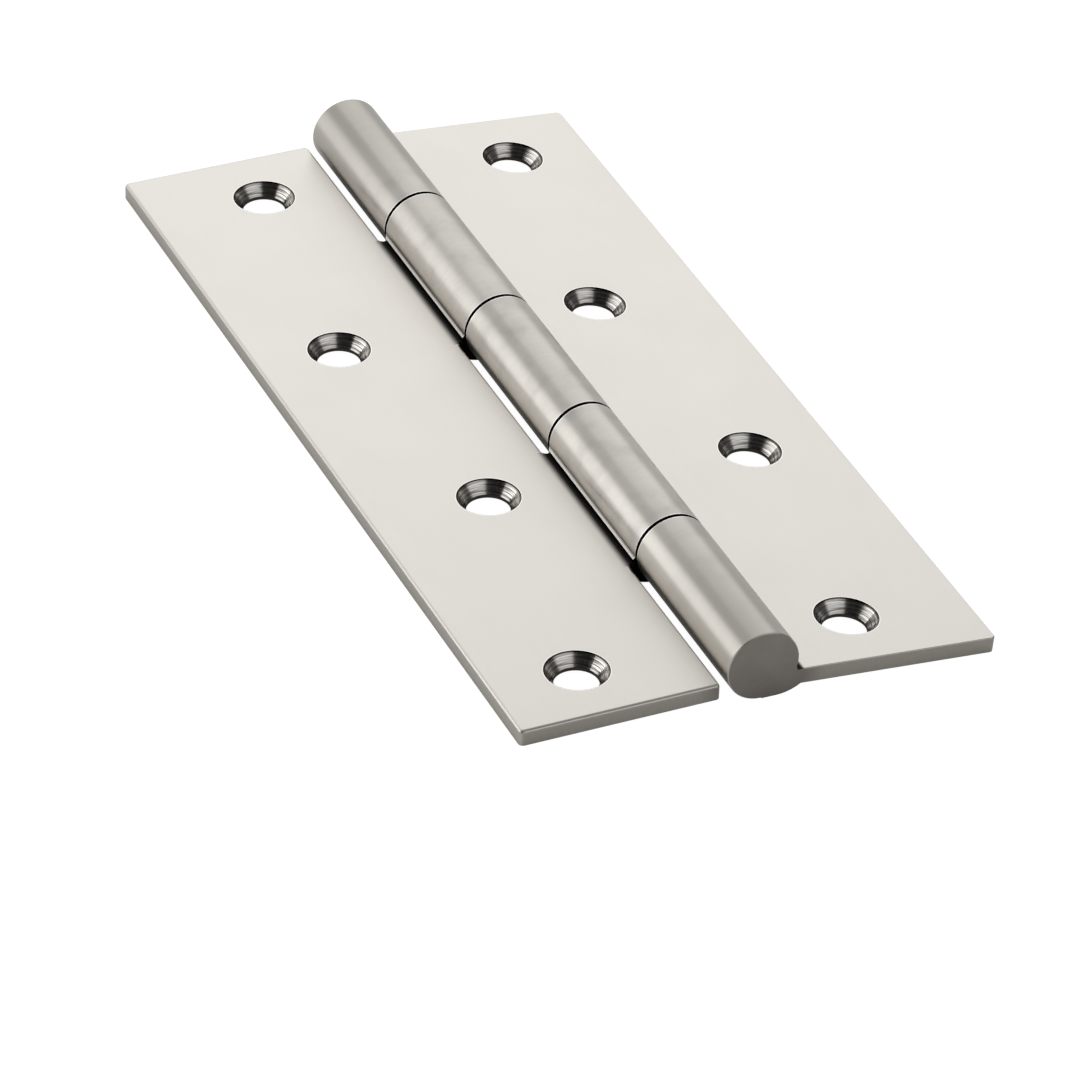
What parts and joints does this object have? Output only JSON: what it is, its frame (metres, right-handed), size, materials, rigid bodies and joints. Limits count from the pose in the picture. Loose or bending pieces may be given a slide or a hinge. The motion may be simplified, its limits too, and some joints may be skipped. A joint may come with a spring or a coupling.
{
  "type": "butt hinge",
  "caption": "Butt hinge: flat countersunk steel leaves with interleaved rolled knuckles turn on a hidden pin that is welded in flush.",
  "frame": {"origin": "middle of the pin axis, which is the centre of the hinge as it lies open on a table", "axes": "+Y along the pin axis to the upper end, +X across the open leaves to the three-knuckle leaf, +Z out of the countersunk faces"},
  "size_m": [0.0608, 0.127, 0.0091],
  "materials": {
    "satin_stainless": "satin brushed stainless steel sheet",
    "pin_steel": "drawn bright stainless rod",
    "ground_weld": "weld ground flush, fine grinding marks"
  },
  "bodies": {
    "fixed_leaf": {"three_knuckle_leaf": "satin_stainless", "hinge_pin": "pin_steel", "upper_end_weld": "ground_weld", "lower_end_weld": "ground_weld"},
    "swinging_leaf": {"two_knuckle_leaf": "satin_stainless"}
  },
  "joints": [
    {"name": "leaf_swing", "type": "hinge", "parent": "fixed_leaf", "child": "swinging_leaf", "pos_m": [0, 0, 0], "axis": [0, 1, 0], "range_deg": [-104, 189]}
  ]
}
